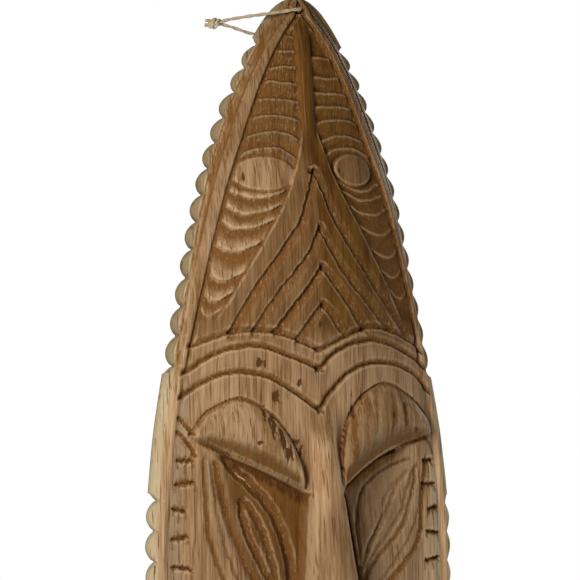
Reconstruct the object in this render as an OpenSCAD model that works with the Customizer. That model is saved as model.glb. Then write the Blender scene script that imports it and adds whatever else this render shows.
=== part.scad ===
// Tall carved wooden wall mask with a twine hanging loop.
// Frame: origin at the hanging hole where its axis meets the wall plane, +Z up along the mask,
// the face looks towards -Y and the wall touches the back rim at y = 0.

/* [Mask body] */
// Height of the whole mask as a share of the designed 601 mm
height_share = 1; // [0.95:0.01:1.05]
// Width of the whole mask as a share of the designed 193 mm
width_share = 1; // [0.95:0.01:1.05]
// How far the rim's front edge stands off the wall
rim_front = 6; // [5:0.5:8]
// Depth of the scallops cut in the back edge of the rim
scallop_back = 5; // [3:0.5:6]
// Depth of the same scallops at the front edge of the rim
scallop_front = 2; // [1:0.5:3]

/* [Hollow back] */
// Depth of the scooped back at the face
hollow_depth = 20; // [14:1:22]
// Width of the flat land left around the hollow
land = 15; // [12:1:18]
// How far the back of the crown is pared away, so that the twine clears the wall
crown_relief = 4; // [3.6:0.1:5]

/* [Carving] */
// Height of the two brow bulges over the face
brow_height = 8; // [5:0.5:10]
// Depth of the two eye hollows
eye_depth = 6; // [4:0.5:8]
// Height of the nose over the face, at its root
nose_root = 13; // [9:0.5:15]
// Height of the nose over the face, at its tip
nose_tip = 26; // [20:0.5:28]
// Height of the lips over the face
lip_height = 9; // [6:0.5:11]

/* [Hanging loop] */
// Diameter of the hanging hole
hole_d = 4.4; // [4:0.1:5]
// Diameter of the twine
twine_d = 2.1; // [1.8:0.1:2.3]
// Diameter of the knot's ball
knot_d = 7; // [6:0.5:8]

/* [Hidden] */
$fn = 48;

// Half-outline of the rim, tip to chin: [height z, half-width]
OUTLINE = [
    [9, 3], [6, 9.5], [0, 16.5], [-18, 28.5], [-56, 47], [-108, 64], [-160, 74.5], [-212, 84],
    [-264, 92], [-320, 96], [-380, 95], [-440, 89], [-500, 76], [-545, 58], [-572, 41],
    [-587, 24], [-592, 10]
];
// Front of the block on the centre line, under the carving: [height z, distance off the wall]
CREST = [
    [9, 7.5], [0, 11.5], [-25, 18.5], [-75, 26], [-134, 39], [-170, 41], [-206, 35], [-240, 33],
    [-300, 33], [-400, 36], [-480, 38], [-540, 32], [-592, 10]
];
// Depth of the scooped back on the centre line, as a share of hollow_depth: [height z, share]
SCOOP = [[-72, 0], [-100, 0.55], [-150, 1], [-440, 1], [-500, 0.8], [-530, 0.45], [-548, 0]];
// How rounded the block's section is: 2 is a parabola
SECTION = 2.2;

// The rim is scalloped above and below the plain ear strips
SCALLOP_PITCH_TOP = 14;
SCALLOP_PITCH_LOW = 18;
CROWN_SCALLOPS = [-21, -217];
CHIN_SCALLOPS = [-290, -560];

// Smooth curve through the points of a table, with level slopes only at its turning points
function table_step(t, i) = (t[i + 1][1] - t[i][1]) / (t[i + 1][0] - t[i][0]);
function table_slope(t, i) =
    i == 0 ? table_step(t, 0)
    : i == len(t) - 1 ? table_step(t, i - 1)
    : let (a = table_step(t, i - 1), b = table_step(t, i)) a * b <= 0 ? 0 : 2 * a * b / (a + b);
function table_row(t, z, i = 0) = i >= len(t) - 2 || z >= t[i + 1][0] ? i : table_row(t, z, i + 1);
function smooth_table(t, z) =
    let (
        i = table_row(t, z),
        h = t[i + 1][0] - t[i][0],
        s = min(1, max(0, (z - t[i][0]) / h))
    )
    (2 * s ^ 3 - 3 * s ^ 2 + 1) * t[i][1] + (s ^ 3 - 2 * s ^ 2 + s) * h * table_slope(t, i)
    + (3 * s ^ 2 - 2 * s ^ 3) * t[i + 1][1] + (s ^ 3 - s ^ 2) * h * table_slope(t, i + 1);

// 0 at a, 1 at b, smooth between them
function ramp(a, b, v) = let (s = min(1, max(0, (v - a) / (b - a)))) s * s * (3 - 2 * s);
// Round mound, 1 at its middle and 0 outside its half-sizes
function mound(x, z, cx, cz, rx, rz) =
    let (q = ((x - cx) / rx) ^ 2 + ((z - cz) / rz) ^ 2) q >= 1 ? 0 : (1 - q) ^ 2;

// 0 on a scallop's tip, 1 in the notch between two
function notch(z, span, pitch) =
    z > span[0] || z < span[1] ? 0 : 1 - abs(sin(180 * (span[0] - z) / pitch)) ^ 0.7;
function scallop(z) =
    notch(z, CROWN_SCALLOPS, SCALLOP_PITCH_TOP) + notch(z, CHIN_SCALLOPS, SCALLOP_PITCH_LOW);

function half_width(z) = width_share * smooth_table(OUTLINE, z);
function back_plane(z) = -crown_relief * ramp(-58, -46, z);

// Everything carved proud of the block or sunk in it, in millimetres out from the block
function brow(x, z) = brow_height * (mound(abs(x), z, 44, -247, 38, 24));
function eyes(x, z) = -eye_depth * mound(abs(x), z, 42, -298, 34, 52);
function nose(x, z) =
    let (w = 15 + 9 * ramp(-270, -385, z), h = nose_root + (nose_tip - nose_root) * ramp(-270, -385, z))
    h * ramp(-250, -268, z) * ramp(-402, -388, z) * (1 - min(1, (x / w) ^ 2)) ^ 0.75;
function lips(x, z) =
    lip_height * (mound(x, z, 0, -438, 38, 17) + mound(x, z, 0, -458, 34, 17));
function chin(x, z) = 6 * mound(x, z, 0, -508, 40, 32);

function front(x, z, w) =
    let (t = min(1, abs(x) / w), crest = smooth_table(CREST, z))
    rim_front + (crest - rim_front) * (1 - t ^ SECTION)
    + brow(x, z) + eyes(x, z) + nose(x, z) + lips(x, z) + chin(x, z);

// One level ring of the body: the carved front, the rim's edge, the flat land and the scooped back
FRONT_STEPS = 20;
SCOOP_STEPS = 6;
function ring(z) =
    let (
        w = half_width(z),
        cut = scallop(z),
        w_front = w - scallop_front * cut,
        w_back = w - scallop_back * cut,
        y_back = back_plane(z),
        inner = max(0.6 * w, w - land),
        deep = hollow_depth * max(0, smooth_table(SCOOP, z)),
        high = height_share * z
    )
    concat(
        [for (i = [0:FRONT_STEPS])
            let (u = 2 * i / FRONT_STEPS - 1, x = w_front * (1.25 * u - 0.25 * u ^ 3))
            [x, -front(x, z, w), high]],
        [[w_back, y_back, high]],
        [for (i = [0:SCOOP_STEPS])
            let (s = 1 - 2 * i / SCOOP_STEPS)
            [inner * s, y_back - deep * (1 - abs(s) ^ 2.4), high]],
        [[-w_back, y_back, high]]
    );

// Stations down the mask: close together where the outline turns fast
STATIONS = concat(
    [9, 7.5, 5, 2, -3, -8, -14],
    [for (i = [0:42]) CROWN_SCALLOPS[0] - SCALLOP_PITCH_TOP / 3 * i],
    [for (i = [1:8]) CROWN_SCALLOPS[1] - 8 * i],
    [for (i = [0:45]) CHIN_SCALLOPS[0] - SCALLOP_PITCH_LOW / 3 * i],
    [-566, -572, -578, -583, -587, -590, -592]
);

function middle(r) = [for (k = [0:2]) (max([for (p = r) p[k]]) + min([for (p = r) p[k]])) / 2];
module lofted(rings) {
    n = len(rings[0]);
    m = len(rings);
    sides = [for (k = [0:m - 2]) for (i = [0:n - 1])
        let (j = (i + 1) % n, a = k * n, b = a + n)
        each [[a + i, b + j, a + j], [a + i, b + i, b + j]]];
    // Each end is closed by a fan round its own middle point
    ends = [for (i = [0:n - 1])
        let (j = (i + 1) % n, last = (m - 1) * n)
        each [[m * n, i, j], [m * n + 1, last + j, last + i]]];
    polyhedron(
        points = concat([for (r = rings) each r], [middle(rings[0]), middle(rings[m - 1])]),
        faces = concat(sides, ends)
    );
}

module mask_body() {
    color([0.62, 0.47, 0.31])
    difference() {
        lofted([for (z = STATIONS) ring(z)]);
        rotate([90, 0, 0]) cylinder(d = hole_d, h = 60, center = true);
    }
}

// The twine from the knot along the front, through the hole and back behind the crown to the knot
ROUTE = [
    [-49, -4.9, -9.2], [-45, -5.9, -7.9], [-40, -7.3, -6.8], [-34, -9.1, -5.8], [-28, -10.9, -4.9],
    [-22, -12.6, -4], [-16, -14, -3.1], [-11, -14.9, -2.2], [-7, -15.4, -1.4], [-4, -15.3, -0.8],
    [-1.8, -14.4, -0.3], [-0.6, -12.8, 0], [0, -10.6, 0], [0, -8.4, 0], [0, -6.4, 0],
    [-0.2, -4.6, -0.2], [-1, -3.1, -0.8], [-2.6, -2.2, -2], [-4.6, -1.8, -3.8], [-8, -1.7, -6.8],
    [-12, -1.7, -9.8], [-16.5, -1.8, -12.3], [-22, -1.9, -13.8], [-28, -2.1, -13.9],
    [-33.5, -2.5, -12.8], [-39, -3, -11.4], [-44, -3.4, -10.4], [-49, -3.7, -9.9]
];
KNOT = [-51.6, -4.3, -9.8];
KNOT_LENGTH = 8.4;
TAIL_LENGTH = 4.5;

function unit(v) = v / norm(v);
function along(p, i) = unit(p[min(len(p) - 1, i + 1)] - p[max(0, i - 1)]);
function turned(side, t) = unit(side - (side * t) * t);
function sides_of(p, i, side) =
    i >= len(p) ? [] : let (s = turned(side, along(p, i))) concat([s], sides_of(p, i + 1, s));

module tube(p, d) {
    s = sides_of(p, 0, [0, 0, 1]);
    lofted([for (i = [0:len(p) - 1])
        let (u = s[i], v = cross(along(p, i), u))
        [for (a = [0:45:315]) p[i] + d / 2 * (cos(a) * u + sin(a) * v)]]);
}

module hanging_cord() {
    color([0.80, 0.70, 0.52]) tube(ROUTE, twine_d);
}

module cord_knot() {
    color([0.78, 0.68, 0.48])
    translate(KNOT) {
        scale([KNOT_LENGTH / knot_d, 1, 1]) sphere(d = knot_d, $fn = 10);
        for (side = [-1, 1])
            translate([-KNOT_LENGTH / 2 + 1, 0.9 * side, 1.2 * side])
            rotate([0, -90, 0]) cylinder(d = twine_d, h = TAIL_LENGTH);
    }
}

mask_body();
hanging_cord();
cord_knot();
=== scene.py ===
"""Tall carved wooden wall mask with a knotted twine hanging loop.

Lengths are in millimetres up to the moment a mesh is made, in the frame of the CAD model: origin at
the hanging hole on the wall plane, +Z up, the face towards -Y. The camera and the lights are placed
in metres. Heights of carving are measured off the wall, and side is -1 for the left of the mask as
it is looked at and 1 for the right.
"""

import math

import bpy
import numpy as np
from mathutils import Matrix, Vector


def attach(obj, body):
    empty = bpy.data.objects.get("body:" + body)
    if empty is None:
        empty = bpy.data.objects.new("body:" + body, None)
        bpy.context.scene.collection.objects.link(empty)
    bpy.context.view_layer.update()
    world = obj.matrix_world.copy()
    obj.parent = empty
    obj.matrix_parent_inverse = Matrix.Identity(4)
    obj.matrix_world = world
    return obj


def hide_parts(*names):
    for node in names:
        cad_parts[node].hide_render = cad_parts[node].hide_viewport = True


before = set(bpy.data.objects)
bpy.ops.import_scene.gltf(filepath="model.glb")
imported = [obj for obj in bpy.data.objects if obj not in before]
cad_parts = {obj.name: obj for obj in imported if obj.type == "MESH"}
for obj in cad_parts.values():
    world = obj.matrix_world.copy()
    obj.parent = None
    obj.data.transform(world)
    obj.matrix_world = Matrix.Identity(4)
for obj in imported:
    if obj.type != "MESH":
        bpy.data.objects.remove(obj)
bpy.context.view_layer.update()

MM = 0.001

# ------------ camera

VIEW_AZIMUTH = -20.0
VIEW_ELEVATION = -4.0
VIEW_ROLL = 0.9
VIEW_DISTANCE = 1.0
VIEW_WIDTH = 0.348
VIEW_AIM = Vector((-0.0048, 0.0, -0.168))
SENSOR = 36.0


def add_camera():
    a, e, r = (math.radians(v) for v in (VIEW_AZIMUTH, VIEW_ELEVATION, VIEW_ROLL))
    back = Vector((math.sin(a) * math.cos(e), -math.cos(a) * math.cos(e), math.sin(e)))
    right = Vector((math.cos(a), math.sin(a), 0.0))
    up = back.cross(right)
    right, up = (
        math.cos(r) * right - math.sin(r) * up,
        math.sin(r) * right + math.cos(r) * up,
    )
    data = bpy.data.cameras.new("photo_view")
    data.sensor_width = SENSOR
    data.lens = SENSOR * VIEW_DISTANCE / VIEW_WIDTH
    camera = bpy.data.objects.new("photo_view", data)
    rotation = Matrix((right, up, back)).transposed().to_4x4()
    camera.matrix_world = Matrix.Translation(VIEW_AIM + VIEW_DISTANCE * back) @ rotation
    bpy.context.scene.collection.objects.link(camera)
    bpy.context.scene.camera = camera


# ------------ small mesh and number helpers


def make_object(name, points, faces, smooth=True):
    mesh = bpy.data.meshes.new(name)
    mesh.from_pydata((np.asarray(points) * MM).tolist(), [], faces)
    mesh.update()
    mesh.polygons.foreach_set("use_smooth", [smooth] * len(mesh.polygons))
    obj = bpy.data.objects.new(name, mesh)
    bpy.context.scene.collection.objects.link(obj)
    return obj


def clamp(v):
    return np.clip(v, 0, 1)


def ramp(a, b, v):
    """0 where v is at a, 1 where it is at b, smooth between them."""
    s = clamp((v - a) / (b - a))
    return s * s * (3 - 2 * s)


def peak(v, reach):
    """1 where v is 0, falling straight to 0 as v gets as far as reach to either side."""
    return clamp(1 - np.abs(v) / reach)


def curve(table, z):
    """The CAD model's curve through [z, value] rows: level only where the values turn back."""
    rows = np.array(table, float)
    at, val = rows[:, 0], rows[:, 1]
    if at[0] > at[-1]:
        at, val = at[::-1], val[::-1]
    step = np.diff(val) / np.diff(at)
    slope = np.empty(len(at))
    slope[0], slope[-1] = step[0], step[-1]
    a, b = step[:-1], step[1:]
    turning = a * b <= 0
    slope[1:-1] = np.where(turning, 0.0, 2 * a * b / np.where(turning, 1.0, a + b))
    i = np.clip(np.searchsorted(at, z) - 1, 0, len(at) - 2)
    h = at[i + 1] - at[i]
    s = clamp((z - at[i]) / h)
    return (
        (2 * s**3 - 3 * s**2 + 1) * val[i]
        + (s**3 - 2 * s**2 + s) * h * slope[i]
        + (3 * s**2 - 2 * s**3) * val[i + 1]
        + (s**3 - s**2) * h * slope[i + 1]
    )


def spline(points, per_span=10):
    """A Catmull-Rom curve through the points, whose ends are its own end points."""
    p = np.array(points, float)
    p = np.vstack([2 * p[0] - p[1], p, 2 * p[-1] - p[-2]])
    out = []
    for a, b, c, d in zip(p[:-3], p[1:-2], p[2:-1], p[3:]):
        for t in np.arange(per_span) / per_span:
            out.append(
                0.5 * (2 * b + (c - a) * t + (2 * a - 5 * b + 4 * c - d) * t**2
                       + (3 * b - a - 3 * c + d) * t**3)
            )
    out.append(p[-2])
    return np.array(out)


def noise(x, z, seed):
    """Smooth noise from -1 to 1 on a plane, one wave per unit, the same in every run."""
    xi, zi = np.floor(x).astype(int), np.floor(z).astype(int)
    fx, fz = x - xi, z - zi
    fx, fz = fx * fx * (3 - 2 * fx), fz * fz * (3 - 2 * fz)

    def corner(i, j):
        n = (i * 73856093) ^ (j * 19349663) ^ (seed * 83492791)
        n = (n ^ (n >> 13)) * 1274126177
        return ((n ^ (n >> 16)) & 0xFFFF) / 32767.5 - 1

    low = corner(xi, zi) * (1 - fx) + corner(xi + 1, zi) * fx
    high = corner(xi, zi + 1) * (1 - fx) + corner(xi + 1, zi + 1) * fx
    return low * (1 - fz) + high * fz


# ------------ the block, as in the CAD model

OUTLINE = [
    [9, 3], [6, 9.5], [0, 16.5], [-18, 28.5], [-56, 47], [-108, 64], [-160, 74.5], [-212, 84],
    [-264, 92], [-320, 96], [-380, 95], [-440, 89], [-500, 76], [-545, 58], [-572, 41],
    [-587, 24], [-592, 10],
]
CREST = [
    [9, 7.5], [0, 11.5], [-25, 18.5], [-75, 26], [-134, 39], [-170, 41], [-206, 35], [-240, 33],
    [-300, 33], [-400, 36], [-480, 38], [-540, 32], [-592, 10],
]
SCOOP = [[-72, 0], [-100, 0.55], [-150, 1], [-440, 1], [-500, 0.8], [-530, 0.45], [-548, 0]]
TOP, BOTTOM = 9.0, -592.0
SECTION = 2.2
RIM_FRONT = 6.0
LOBE = 4.0
LOBE_RISE = 6.6
NOTCH_FRONT, NOTCH_BACK = 1.6, 5.6
LAND = 15.0
HOLLOW = 20.0
CROWN_RELIEF = 4.0
RELIEF_FOOT, RELIEF_TOP = -58, -46
HOLE_RADIUS = 2.2
HOLE_PIT = 3.4

# Notches of the rim, cut by eye: first notch, first pitch, growth of the pitch, number of scallops
CROWN_NOTCHES = {-1: (-21, 14.4, 0.135, 12), 1: (-23, 11.6, 0.16, 14)}
CHIN_NOTCHES = {-1: (-290.5, 17.6, 0.02, 15), 1: (-297.5, 17.2, 0.02, 15)}


def notches(z, first, pitch, growth, count):
    """1 in a notch of the rim, 0 on the round of a scallop, 0 beyond the first and last notch."""
    drop = first - z
    k = (-pitch + np.sqrt(np.maximum(pitch**2 + 4 * growth * drop, 0))) / (2 * growth)
    inside = (k > -0.25) & (k < count + 0.25)
    k = np.clip(k, -0.25, count + 0.25)
    return np.where(inside, clamp(1 - np.abs(np.sin(math.pi * k)) ** 0.62), 0.0)


def scallop(z, side):
    return notches(z, *CROWN_NOTCHES[side]) + notches(z, *CHIN_NOTCHES[side])


def block(x, z, width):
    t = clamp(np.abs(x) / width)
    return RIM_FRONT + (curve(CREST, z) - RIM_FRONT) * (1 - t**SECTION)


def lobe_reach(z):
    """How far inside the outline the rounded edge begins."""
    return np.minimum(LOBE, 0.22 * curve(OUTLINE, z))


def border_edge(z):
    """How far inside the outline the border's outer edge lies."""
    width = curve(OUTLINE, z)
    return np.minimum(curve(BEAD_INSET, z) - curve(BEAD_HALF, z), 0.62 * width)


# ------------ carving tools


# What the carving paints on the mesh for the wood's material, painted shade among it
MARKS = ("stain", "wash", "knot", "torn", "shade_grey")


class Carving:
    """The carved front: for every point of a grid, its height off the wall and its marks.

    The marks are those of MARKS, and where the wash is rubbed off."""

    def __init__(self, x, z):
        self.x, self.z = x, z
        self.width = curve(OUTLINE, z)
        self.height = block(x, z, self.width)
        for name in (*MARKS, "rubbed"):
            setattr(self, name, np.zeros_like(x))

    def mark(self, name, amount, where=True):
        """Raise one of the marks to an amount, but don't lower it where it is above that."""
        values = getattr(self, name)
        values[:] = np.maximum(values, np.where(where, amount, 0))

    def cut(self, shape, depth, stain, where=True):
        """Cut a shape of 0 to 1 in by a depth, and stain it."""
        self.height -= np.where(where, depth * shape, 0)
        self.mark("stain", stain * shape, where)

    def near(self, points, reach):
        lo, hi = points.min(0) - reach, points.max(0) + reach
        return np.nonzero(
            (self.x > lo[0]) & (self.x < hi[0]) & (self.z > lo[1]) & (self.z < hi[1])
        )

    def measure(self, points, reach):
        """Points of the grid near a line, their distance from it, + on its left, and place along it."""
        at = self.near(points, reach)
        x, z = self.x[at], self.z[at]
        best = np.full(x.shape, 1e9)
        side = np.ones(x.shape)
        place = np.zeros(x.shape)
        n = len(points) - 1
        for i, (a, b) in enumerate(zip(points[:-1], points[1:])):
            d = b - a
            s = clamp(((x - a[0]) * d[0] + (z - a[1]) * d[1]) / max(d @ d, 1e-9))
            dx, dz = x - a[0] - s * d[0], z - a[1] - s * d[1]
            dist = np.hypot(dx, dz)
            closer = dist < best
            best = np.where(closer, dist, best)
            side = np.where(closer, np.sign(d[0] * dz - d[1] * dx), side)
            place = np.where(closer, (i + s) / n, place)
        return at, best * np.where(side == 0, 1, side), place

    def groove(self, line, left, right, depth, fade=0.0, stain=1.0, bare=0, crisp=2.2, flare=0.0,
               wobble=0.0, seed=1):
        """A V cut along a line, whose walls reach out by left and right to its two sides.

        fade is the share of the line that each end takes to run out, bare the side (1 left, -1 right)
        whose wall stays paler, crisp how far up the walls the stain is full, flare how much wider the
        far end is, and wobble how far the line strays."""
        points = spline(line)
        at, d, place = self.measure(points, max(left, right) * (1 + flare) + 4)
        still = np.zeros_like(d)
        d = d + wobble * noise(place * 23, still, seed)
        d = d + 0.5 * wobble * noise(place * 61, still, seed)
        size = 1 - flare + 2 * flare * place
        run = np.where(d > 0, d / (left * size), -d / (right * size))
        ends = ramp(0, fade, place) * ramp(0, fade, 1 - place) if fade else 1.0
        cut = clamp(1 - run) * ends
        self.height[at] -= depth * cut
        brown = stain * clamp(crisp * cut)
        brown = np.where(d * bare > 0.7, 0.3 * brown, brown)
        smear = 0.5 + 0.5 * noise(self.x[at] / 7, self.z[at] / 7, seed + 5)
        halo = 0.6 * stain * ends * smear * clamp(1 - (run - 1) * max(left, right) / 3)
        self.stain[at] = np.maximum(self.stain[at], np.maximum(brown, np.where(run > 1, halo, 0)))
        self.torn[at] = np.maximum(self.torn[at], clamp(crisp / 2.2 * 1.6 * cut))


def mirrored(line, side):
    return [(side * x, z) for x, z in line]


# ------------ the carved lines, [x, z]

# Border bead: how far its middle lies inside the outline, and half its width
BEAD_INSET = [
    [9, 15], [0, 14.5], [-25, 12.5], [-72, 13], [-120, 11], [-165, 8.8], [-220, 7.4], [-592, 7.4],
]
BEAD_HALF = [
    [9, 1.6], [0, 1.8], [-25, 2.6], [-72, 3.3], [-120, 2.9], [-165, 2.3], [-220, 2], [-592, 2],
]

# Outer edge of the centre band, from the foot of the centre ridge to the brow
BAND_EDGE = [
    [-12, 4.2], [-74, 4.6], [-90, 8], [-108, 14], [-125, 22], [-143, 32], [-160, 42], [-178, 52],
    [-190, 60],
]

CHEVRONS = {
    -1: [
        [(-1, -101), (-5, -114), (-11, -130), (-23, -148), (-39, -172), (-51, -195)],
        [(0, -134), (-7, -149), (-15, -160), (-24, -171), (-38, -193)],
        [(0, -157), (-9, -170), (-18, -182), (-26, -194)],
        [(0, -179), (-6, -187), (-13, -198)],
    ],
    1: [
        [(0, -101), (5, -116), (11, -132), (26, -155), (39, -172), (60, -195)],
        [(0, -134), (10, -154), (22, -169), (34, -181), (46, -192)],
        [(0, -157), (6, -165), (14, -175), (28, -193)],
        [(0, -179), (6, -185), (13, -194)],
    ],
}

# Double arcs over the brows, from the middle outwards
ARCS = {
    -1: [
        [(0, -206), (-21, -197), (-41, -194), (-58, -197.5), (-71, -202.5)],
        [(0, -217), (-20, -208), (-39, -203), (-58, -207), (-75, -218)],
        [(0, -241), (-24, -224), (-44, -218), (-61, -221.5), (-77, -232)],
    ],
    1: [
        [(0, -206), (17, -198), (38, -192), (65, -200), (75, -207)],
        [(0, -217), (14, -205), (37, -200), (66, -209), (79, -219)],
        [(0, -241), (9, -229), (23, -217), (40, -213), (65, -218), (79, -231)],
    ],
}

# Brow bulges: the upper and the lower edge, [x, z] for x outwards
BROW_TOP = {
    -1: [[9, -284], [12, -268], [18, -254], [30, -240], [46, -232], [63, -239], [74, -253]],
    1: [
        [12, -284], [13.5, -262], [20, -241], [31, -229], [44, -224], [62, -231], [77, -245],
        [81, -255],
    ],
}
BROW_BOTTOM = {
    -1: [[9, -287], [16, -283], [34, -273.5], [55, -264], [74, -255]],
    1: [[12, -288], [18, -284], [28, -276], [50, -264], [81, -256]],
}

# How far the bulges stand out, and the share of their height where the underside begins
BROW_RISE = 8.0
BROW_TURN = 0.58

# The nose leans over to the mask's right: where its middle runs, half its width and its height
NOSE_SWAY = [[-232, 0], [-262, 1.5], [-287, 3.2], [-302, 3.5], [-341, 4.6], [-400, 3]]
NOSE_HALF = [
    [-232, 21], [-246, 14], [-262, 11], [-287, 11.6], [-302, 12.8], [-341, 17.6], [-372, 22],
    [-392, 24],
]
NOSE_HEIGHT = [
    [-232, 0], [-246, 3], [-262, 8], [-280, 12.5], [-300, 15], [-340, 19.5], [-386, 25], [-394, 20],
    [-400, 0],
]

# Columns of steps on both sides of the crown's centre: heights of their edges above and below the
# ovals, and each oval's place out from the middle, height, half-width and half-height
STEPS_ABOVE = {
    -1: [-15, -25, -35, -44, -55, -67, -79, -90],
    1: [-27, -40, -50, -59, -68, -80, -88],
}
STEPS_BELOW = {
    -1: [-114, -123, -132, -145, -162, -173, -182],
    1: [-108, -114, -123, -135, -148, -159, -172],
}
OVALS = {-1: (29, -102, 17.5, 10.5), 1: (27, -98, 13, 10)}
POCKET_TOP, POCKET_FOOT = -11, -190

EYE_DEPTH = 8.5

# The eyes: grooves from the temple down towards the nose, each with the reach of its two walls, its
# depth and how brown it is
EYE_CUTS = {
    -1: [
        ([(-57, -262), (-49, -272), (-40, -281), (-29, -294), (-21, -311), (-18, -326), (-17, -342),
          (-19, -356)], 2.6, 2.6, 4.0, 0.95),
        ([(-45, -289), (-39, -296), (-34, -305), (-30, -318), (-27, -331), (-23, -350)],
         1.3, 2.4, 2.8, 1.0),
        ([(-45, -289), (-44, -302), (-41, -313), (-35, -326), (-29, -339), (-22, -352)],
         2.0, 1.6, 3.0, 1.0),
        ([(-60, -264), (-58, -279), (-54, -296), (-50, -310), (-44, -326), (-37, -339), (-26, -355)],
         3.0, 2.4, 2.0, 0.9),
        ([(-63, -264), (-61, -280), (-59, -296), (-57, -310), (-53, -324), (-47, -338), (-34, -356)],
         1.1, 1.1, 1.0, 0.6),
        ([(-65, -258), (-66, -279), (-65, -296), (-64, -313), (-60, -327), (-55, -338), (-42, -356)],
         1.6, 1.3, 1.5, 0.85),
    ],
    1: [
        ([(67, -268), (51, -274), (39, -280), (31, -287), (27.5, -296), (26, -310), (26.5, -324),
          (28, -338), (30, -352)], 0.8, 1.8, 1.7, 0.8),
        ([(67, -269), (65, -283), (60, -301), (54, -312), (43, -323), (34, -333), (29, -343),
          (28, -354)], 0.9, 2.8, 1.9, 0.7),
        ([(63, -274), (54, -285), (48, -297), (42, -308), (34, -319), (29, -331), (27, -345)],
         1.0, 2.4, 1.7, 0.55),
        ([(65, -274), (60, -288), (56, -300), (48, -311), (38, -322), (31, -333), (28, -346)],
         1.0, 2.0, 1.6, 0.55),
        ([(53, -282), (45, -294), (42, -305), (36, -316), (31, -326)], 1.0, 2.2, 1.5, 0.5),
        ([(69, -271), (69, -289), (66, -304), (60, -315), (50, -328), (40, -340), (31, -353)],
         1.0, 1.4, 1.1, 0.6),
        ([(76, -264), (72, -282), (70, -298), (68, -313), (62, -324), (51, -335), (38, -348)],
         2.8, 2.2, 1.7, 0.95),
    ],
}

# Short cuts across the cheek beside the border
CHEEK_CUTS = {
    -1: [-268, -281, -296, -312, -329, -346, -363, -380, -398, -416, -434],
    1: [-271, -285, -300, -314, -330, -347, -364, -381, -398, -415, -433],
}

# Dark flecks and torn pockets in the wood: x, z, half-width, half-height
KNOT_MARKS = [
    (-34, -212, 2.8, 3), (-12, -224, 1.7, 3), (-26, -233, 2.2, 6), (-33, -243, 1.5, 5),
    (-29, -250, 1.8, 6), (-24, -256, 2.3, 7), (-21, -264, 2.5, 5), (-15, -258, 2.6, 2.4),
    (-12, -263, 1.5, 4), (-37, -258, 2, 1.6), (56, -243, 1.4, 10), (47, -246, 0.8, 7),
    (65, -253, 1.6, 2), (21, -240, 0.9, 9), (27, -232, 0.8, 7), (-41, -103, 0.8, 3),
    (17, -99, 1, 2), (0, -190, 1, 2), (33, -352, 2.6, 4), (-52, -470, 2, 6),
]


# ------------ the carving, region by region


def flank(c):
    """The edge outside the border is planed down to the rim, steeply."""
    inset = c.width - np.abs(c.x)
    foot, top = lobe_reach(c.z), border_edge(c.z)
    upper = block(c.width - top, c.z, c.width)
    s = clamp((inset - foot) / np.maximum(top - foot, 0.1))
    rise = np.minimum(LOBE_RISE, upper)
    c.height = np.where(inset < top, np.minimum(c.height, rise + (upper - rise) * s**0.9), c.height)


def bead(c, side):
    """The raised border: broad on the crown, a sharp arris lower down, with a cut along each edge."""
    on = np.sign(c.x) == side
    half = curve(BEAD_HALF, c.z)
    inset = c.width - border_edge(c.z) - half - np.abs(c.x)
    crown = ramp(-190, -130, c.z)
    q = np.abs(inset / half)
    broad = 0.9 * crown * clamp(1 - q**2) ** 0.5
    sharp = 2.2 * (1 - crown) * clamp(1 - q / 1.6)
    c.height += np.where(on, broad + sharp, 0)
    inner = peak(inset - half - 1.4, 1.5 + 0.5 * crown)
    inner = inner * (0.25 + 0.75 * ramp(-218, -205, c.z))
    outer = peak(inset + half + 0.7, 1.2) * crown
    c.height -= np.where(on, 2.4 * inner + 1.2 * outer, 0)
    c.mark("stain", np.maximum(inner, 0.9 * outer), on)
    # brown tool marks on the flank of the crown, and a dark line where the scallops begin
    outside = ramp(0.5, 2, -inset - half) * ramp(-175, -100, c.z)
    rough = (0.8 if side < 0 else 0.2) * (0.5 + 0.8 * noise(c.x / 4, c.z / 22, 17))
    c.mark("stain", rough * outside, on)
    line = peak(c.width - np.abs(c.x) - lobe_reach(c.z) - 0.9, 1.0)
    line = line * ramp(-16, -26, c.z) * ramp(-225, -205, c.z)
    line = line * (0.8 if side < 0 else 0.35)
    c.height -= np.where(on, 0.7 * line, 0)
    # painted shade: the inner slope of the lower border is made duller
    slope = ramp(0.5, 1.5, inset - half) * ramp(8, 5, inset - half)
    slope = slope * ramp(-218, -232, c.z)
    c.mark("shade_grey", 0.6 * slope, on)
    c.mark("torn", np.maximum(inner, outer), on)
    c.mark("rubbed", 0.35 * (q < 1), on)
    c.mark("stain", line, on)


def steps_above(side, z, across, ragged):
    """The steps over an oval: their height over the pocket's floor, and their worn lips."""
    saw, lip = np.zeros_like(z), np.zeros_like(z)
    bend = 1 - np.abs(1.7 * (across - 0.55)) ** 2.4
    tops = STEPS_ABOVE[side]
    for top, after in zip(tops, tops[1:] + [OVALS[side][1]]):
        bow = 9.5 * max(0.0, min(1.0, (-50 - top) / 42)) * (bend - 0.35)
        edge = top + bow + ragged
        below = after + bow + ragged
        s = (edge - z) / np.maximum(edge - below, 0.5)
        tread = (s >= 0) & (s < 1)
        saw = np.where(tread, 3.0 * (1 - clamp(s) ** 1.3) * ramp(0, 0.22, s), saw)
        lip = np.where(tread, ramp(0.75, 0.4, s + 0.1 * ragged), lip)
    return saw, lip


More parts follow.
